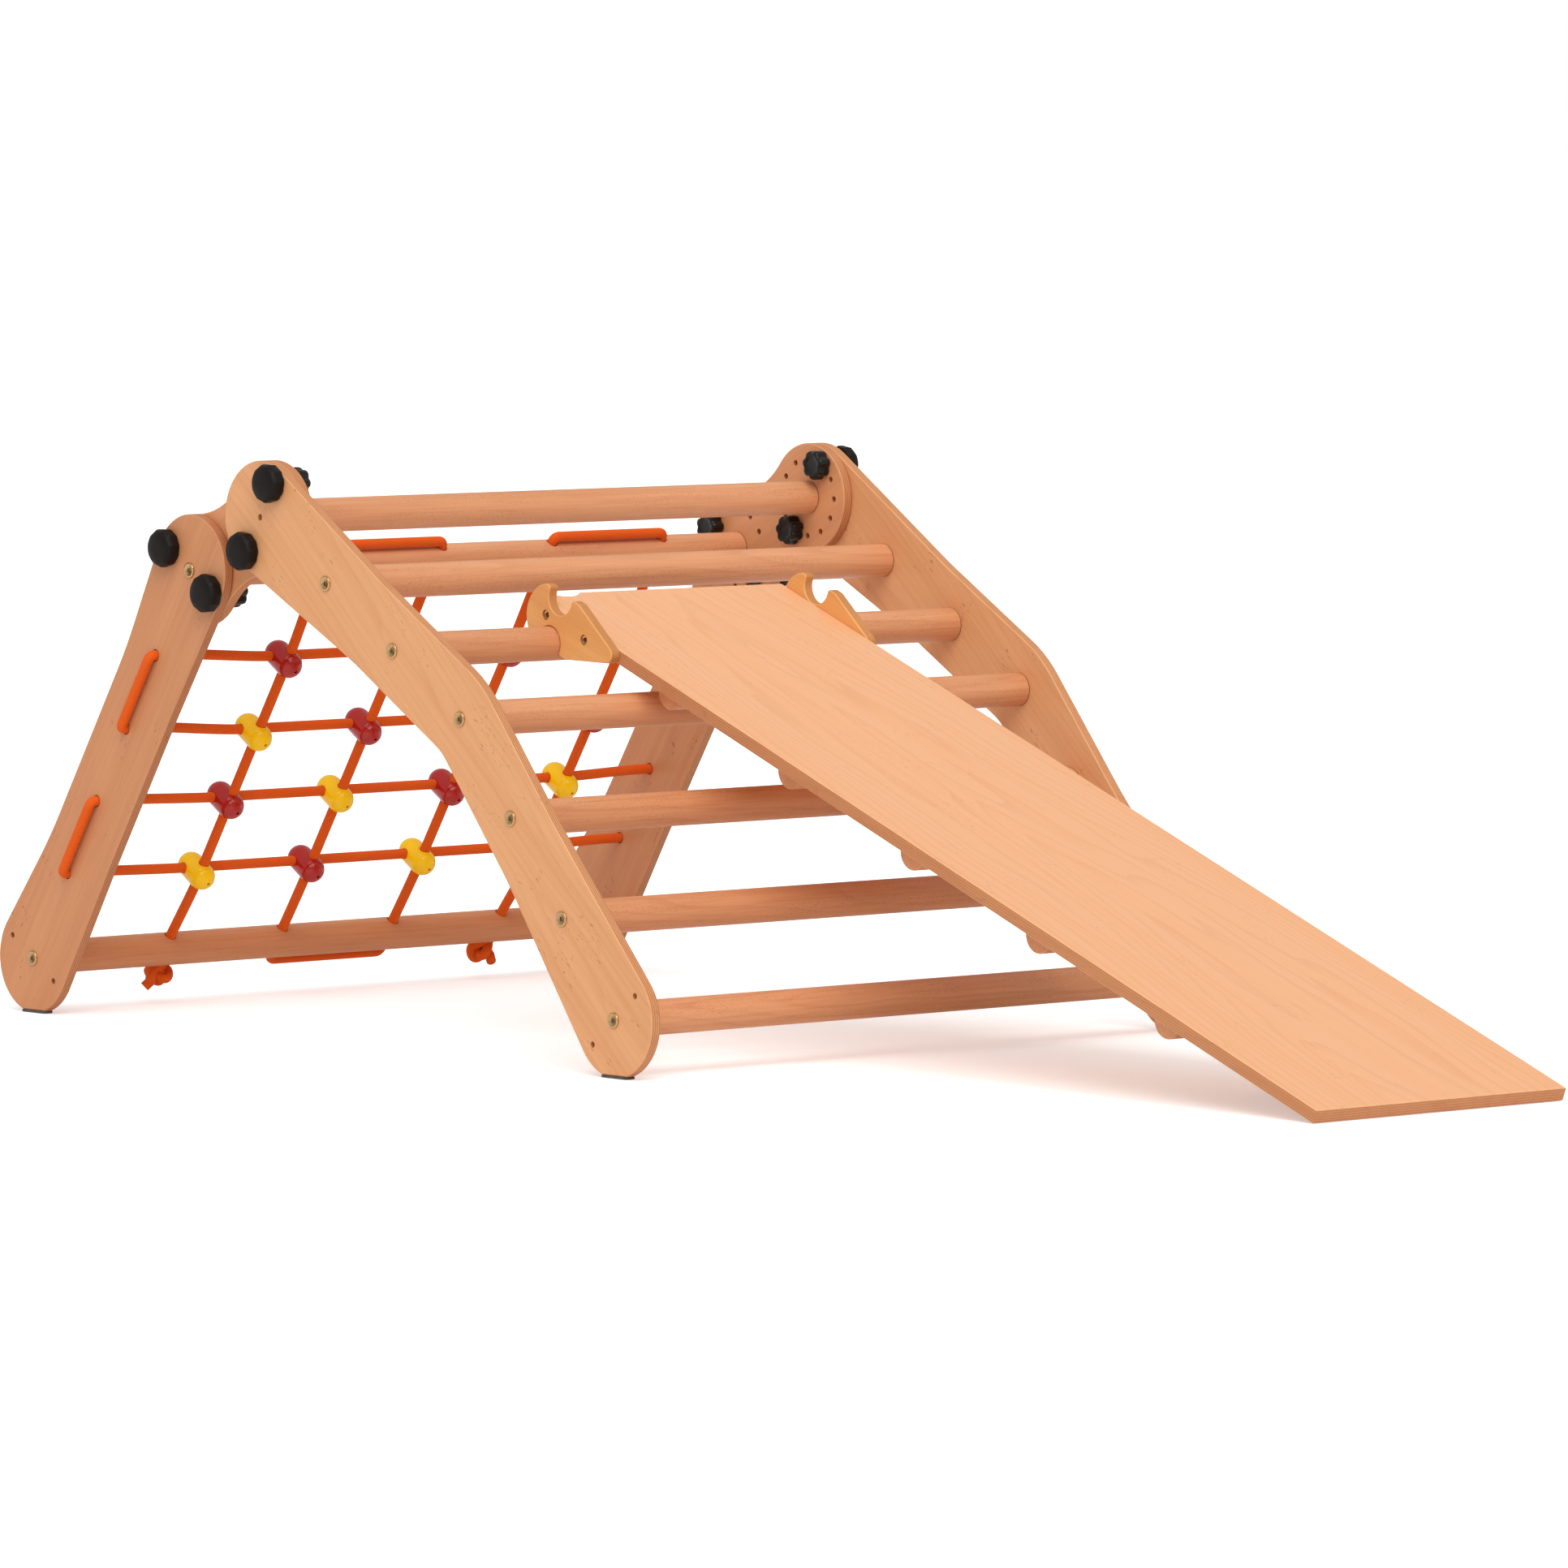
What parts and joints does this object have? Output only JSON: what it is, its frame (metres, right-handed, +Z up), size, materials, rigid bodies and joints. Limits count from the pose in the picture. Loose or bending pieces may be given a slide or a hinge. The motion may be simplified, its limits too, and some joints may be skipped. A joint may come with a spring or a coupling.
{
  "type": "toddler climbing triangle with slide",
  "caption": "Folding wooden climbing triangle with a rung ladder, a laced rope net, ringed hinge plates with hand knobs, and a slide that hooks over a rung.",
  "frame": {"origin": "on the floor, under the middle of the whole object's bounding box", "axes": "+X along the rungs, +Y from the slide towards the rope net, +Z up"},
  "size_m": [0.8246, 1.7916, 0.6038],
  "materials": {
    "birch_plywood": "satin clear coat, birch faces, striped ply edges",
    "hook_plywood": "satin clear coat, slightly yellower plywood",
    "beech": "satin clear coat, fine straight grain with short flecks",
    "zinc_steel": "yellowish zinc plate",
    "insert_brass": "plain turned",
    "rubber_pad": "matte",
    "orange_rope": "braided, matte",
    "red_plastic": "glossy",
    "yellow_plastic": "glossy",
    "black_plastic": "soft black moulding"
  },
  "bodies": {
    "front_frame": {"front_side_panel_left": "birch_plywood", "front_side_panel_right": "birch_plywood", "front_rung_2": "beech", "front_rung_4": "beech", "front_rung_5": "beech", "front_rung_6": "beech", "front_rung_7": "beech", "front_rung_screws": "zinc_steel", "front_rung_inserts": "insert_brass", "front_foot_pads": "rubber_pad", "front_index_bolts": "zinc_steel"},
    "hinge_plates": {"hinge_plate_left": "birch_plywood", "hinge_plate_right": "birch_plywood", "top_rung": "beech", "top_rung_pivot_pins": "zinc_steel"},
    "rear_frame": {"rear_side_panel_left": "birch_plywood", "rear_side_panel_right": "birch_plywood", "rear_top_rung": "beech", "rear_bottom_rung": "beech", "rear_rung_screws": "zinc_steel", "rear_rung_inserts": "insert_brass", "net_upright_rope": "orange_rope", "net_cross_rope": "orange_rope", "net_rope_knots": "orange_rope", "net_connectors_red": "red_plastic", "net_connectors_yellow": "yellow_plastic", "rear_foot_pads": "rubber_pad", "rear_index_bolts": "zinc_steel"},
    "slide_rung": {"front_rung_3": "beech"},
    "slide": {"slide_board": "birch_plywood", "slide_hook_plate_left": "hook_plywood", "slide_hook_plate_right": "hook_plywood", "slide_hook_screws": "zinc_steel", "slide_cleat_1": "beech", "slide_cleat_2": "beech", "slide_cleat_3": "beech", "slide_cleat_4": "beech", "slide_cleat_5": "beech"},
    "front_upper_knob_left": {"front_upper_knob_left": "black_plastic"},
    "front_upper_star_nut_left": {"front_upper_star_nut_left": "black_plastic"},
    "front_lower_knob_left": {"front_lower_knob_left": "black_plastic"},
    "front_lower_star_nut_left": {"front_lower_star_nut_left": "black_plastic"},
    "front_upper_knob_right": {"front_upper_knob_right": "black_plastic"},
    "front_upper_star_nut_right": {"front_upper_star_nut_right": "black_plastic"},
    "front_lower_knob_right": {"front_lower_knob_right": "black_plastic"},
    "front_lower_star_nut_right": {"front_lower_star_nut_right": "black_plastic"},
    "rear_upper_knob_left": {"rear_upper_knob_left": "black_plastic"},
    "rear_upper_star_nut_left": {"rear_upper_star_nut_left": "black_plastic"},
    "rear_lower_knob_left": {"rear_lower_knob_left": "black_plastic"},
    "rear_lower_star_nut_left": {"rear_lower_star_nut_left": "black_plastic"},
    "rear_upper_knob_right": {"rear_upper_knob_right": "black_plastic"},
    "rear_upper_star_nut_right": {"rear_upper_star_nut_right": "black_plastic"},
    "rear_lower_knob_right": {"rear_lower_knob_right": "black_plastic"},
    "rear_lower_star_nut_right": {"rear_lower_star_nut_right": "black_plastic"}
  },
  "joints": [
    {"name": "front_fold", "type": "hinge", "parent": "front_frame", "child": "hinge_plates", "pos_m": [0, 0.44872, 0.54486], "axis": [1, 0, 0], "range_deg": [-30, 150], "deforming": ["front_index_bolts"]},
    {"name": "rear_fold", "type": "hinge", "parent": "hinge_plates", "child": "rear_frame", "pos_m": [0, 0.56633, 0.48493], "axis": [1, 0, 0], "range_deg": [-30, 120], "deforming": ["rear_index_bolts"]},
    {"name": "slide_tilt", "type": "hinge", "parent": "front_frame", "child": "slide_rung", "pos_m": [0, 0.23271, 0.41507], "axis": [1, 0, 0], "range_deg": [-40, 0]},
    {"name": "slide_lift", "type": "slide", "parent": "slide_rung", "child": "slide", "axis": [0, 0.3612, -0.9325], "range_m": [-0.35, 0]},
    {"name": "front_upper_knob_left_spin", "type": "hinge", "parent": "front_frame", "child": "front_upper_knob_left", "pos_m": [-0.4, 0.42708, 0.58086], "axis": [-1, 0, 0], "continuous": true},
    {"name": "front_upper_star_nut_left_spin", "type": "hinge", "parent": "front_frame", "child": "front_upper_star_nut_left", "pos_m": [-0.362, 0.42708, 0.58086], "axis": [1, 0, 0], "continuous": true},
    {"name": "front_lower_knob_left_spin", "type": "hinge", "parent": "front_frame", "child": "front_lower_knob_left", "pos_m": [-0.4, 0.47035, 0.50886], "axis": [-1, 0, 0], "continuous": true},
    {"name": "front_lower_star_nut_left_spin", "type": "hinge", "parent": "front_frame", "child": "front_lower_star_nut_left", "pos_m": [-0.362, 0.47035, 0.50886], "axis": [1, 0, 0], "continuous": true},
    {"name": "front_upper_knob_right_spin", "type": "hinge", "parent": "front_frame", "child": "front_upper_knob_right", "pos_m": [0.4, 0.42708, 0.58086], "axis": [1, 0, 0], "continuous": true},
    {"name": "front_upper_star_nut_right_spin", "type": "hinge", "parent": "front_frame", "child": "front_upper_star_nut_right", "pos_m": [0.362, 0.42708, 0.58086], "axis": [-1, 0, 0], "continuous": true},
    {"name": "front_lower_knob_right_spin", "type": "hinge", "parent": "front_frame", "child": "front_lower_knob_right", "pos_m": [0.4, 0.47035, 0.50886], "axis": [1, 0, 0], "continuous": true},
    {"name": "front_lower_star_nut_right_spin", "type": "hinge", "parent": "front_frame", "child": "front_lower_star_nut_right", "pos_m": [0.362, 0.47035, 0.50886], "axis": [-1, 0, 0], "continuous": true},
    {"name": "rear_upper_knob_left_spin", "type": "hinge", "parent": "rear_frame", "child": "rear_upper_knob_left", "pos_m": [-0.4, 0.60179, 0.50743], "axis": [-1, 0, 0], "continuous": true},
    {"name": "rear_upper_star_nut_left_spin", "type": "hinge", "parent": "rear_frame", "child": "rear_upper_star_nut_left", "pos_m": [-0.362, 0.60179, 0.50743], "axis": [1, 0, 0], "continuous": true},
    {"name": "rear_lower_knob_left_spin", "type": "hinge", "parent": "rear_frame", "child": "rear_lower_knob_left", "pos_m": [-0.4, 0.53086, 0.46243], "axis": [-1, 0, 0], "continuous": true},
    {"name": "rear_lower_star_nut_left_spin", "type": "hinge", "parent": "rear_frame", "child": "rear_lower_star_nut_left", "pos_m": [-0.362, 0.53086, 0.46243], "axis": [1, 0, 0], "continuous": true},
    {"name": "rear_upper_knob_right_spin", "type": "hinge", "parent": "rear_frame", "child": "rear_upper_knob_right", "pos_m": [0.4, 0.60179, 0.50743], "axis": [1, 0, 0], "continuous": true},
    {"name": "rear_upper_star_nut_right_spin", "type": "hinge", "parent": "rear_frame", "child": "rear_upper_star_nut_right", "pos_m": [0.362, 0.60179, 0.50743], "axis": [-1, 0, 0], "continuous": true},
    {"name": "rear_lower_knob_right_spin", "type": "hinge", "parent": "rear_frame", "child": "rear_lower_knob_right", "pos_m": [0.4, 0.53086, 0.46243], "axis": [1, 0, 0], "continuous": true},
    {"name": "rear_lower_star_nut_right_spin", "type": "hinge", "parent": "rear_frame", "child": "rear_lower_star_nut_right", "pos_m": [0.362, 0.53086, 0.46243], "axis": [-1, 0, 0], "continuous": true}
  ]
}
